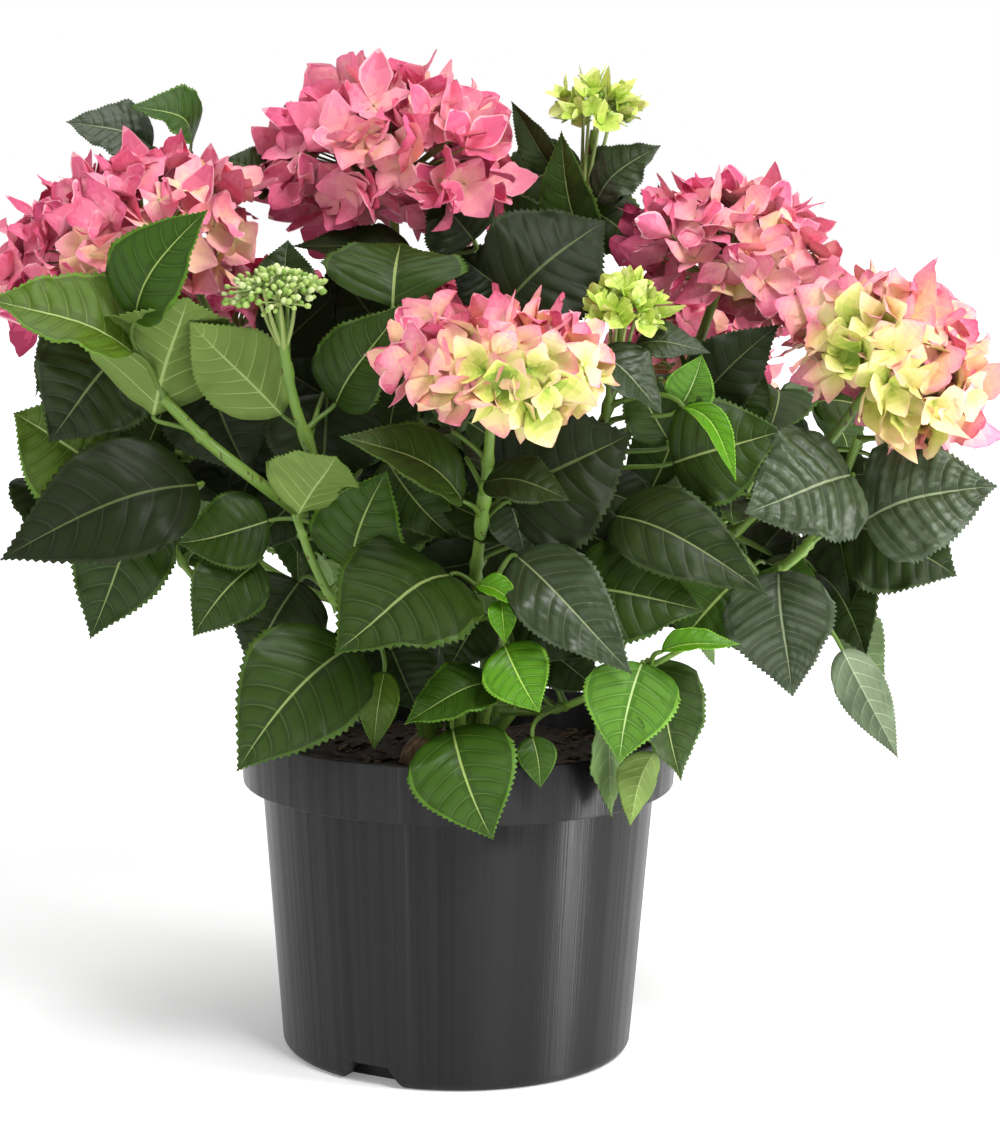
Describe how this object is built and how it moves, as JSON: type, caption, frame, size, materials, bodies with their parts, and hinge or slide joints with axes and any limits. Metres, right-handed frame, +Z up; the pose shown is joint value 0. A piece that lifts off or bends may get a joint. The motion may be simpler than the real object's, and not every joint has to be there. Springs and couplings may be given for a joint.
{
  "type": "potted mophead hydrangea shrub",
  "caption": "Mophead hydrangea shrub in a round plastic nursery pot: green canes, quilted serrated leaves, domed pink and cream flower heads and green bud clusters.",
  "frame": {"origin": "centre of the pot's flat underside, on the surface that it stands on", "axes": "+Z up; the pictured front looks towards -Y, with +X to its right"},
  "size_m": [0.5053, 0.3772, 0.5203],
  "materials": {
    "pot": "injection-moulded polypropylene, satin gloss with vertical flow lines",
    "compost": "damp peat and bark compost, matt",
    "bark": "old hydrangea wood with thin peeling bark, matt",
    "cane": "green young cane with dark lenticels, slightly waxy",
    "leaf": "dark green quilted leaf, slightly waxy above and paler below",
    "petals_rose": "thin petal-like sepals, soft sheen",
    "petals_pink": "thin petal-like sepals, soft sheen",
    "petals_blush": "thin petal-like sepals, cream in the middle with pink edges",
    "petals_cream": "thin petal-like sepals, lime cream with pink edges",
    "buds": "small green unopened florets, waxy"
  },
  "bodies": {
    "root": {"pot": "pot", "root_ball": "compost", "woody_foot": "bark", "cane_left": "cane", "cane_top": "cane", "cane_front": "cane", "cane_right_top": "cane", "cane_right": "cane", "cane_back": "cane", "cane_back_right": "cane", "cane_back_left": "cane", "cane_bud_left": "cane", "cane_bud_centre": "cane", "cane_bud_top": "cane", "bough_top_left": "cane", "bough_left_low": "cane", "bough_left_back": "cane", "bough_right_back": "cane", "head_left": "petals_pink", "head_top": "petals_rose", "head_front": "petals_blush", "head_right_top": "petals_pink", "head_right": "petals_cream", "head_back": "petals_rose", "head_back_right": "petals_blush", "head_back_left": "petals_pink", "head_bud_left": "buds", "head_bud_centre": "buds", "head_bud_top": "buds", "leaves_heart": "leaf", "leaves_centre": "leaf", "leaves_centre_low": "leaf", "leaves_centre_top": "leaf", "leaves_top": "leaf", "leaves_top_left": "leaf", "leaves_left_upper": "leaf", "leaves_left_lower": "leaf", "leaves_left_inner": "leaf", "leaves_left_back": "leaf", "leaves_right_upper": "leaf", "leaves_right_mid": "leaf", "leaves_right_outer": "leaf", "leaves_right_lower": "leaf", "leaves_right_back": "leaf", "leaves_back": "leaf", "leaves_back_left": "leaf", "leaves_back_right": "leaf", "leaves_rim_left": "leaf", "leaves_rim_front": "leaf", "leaves_rim_right": "leaf"}
  },
  "joints": []
}
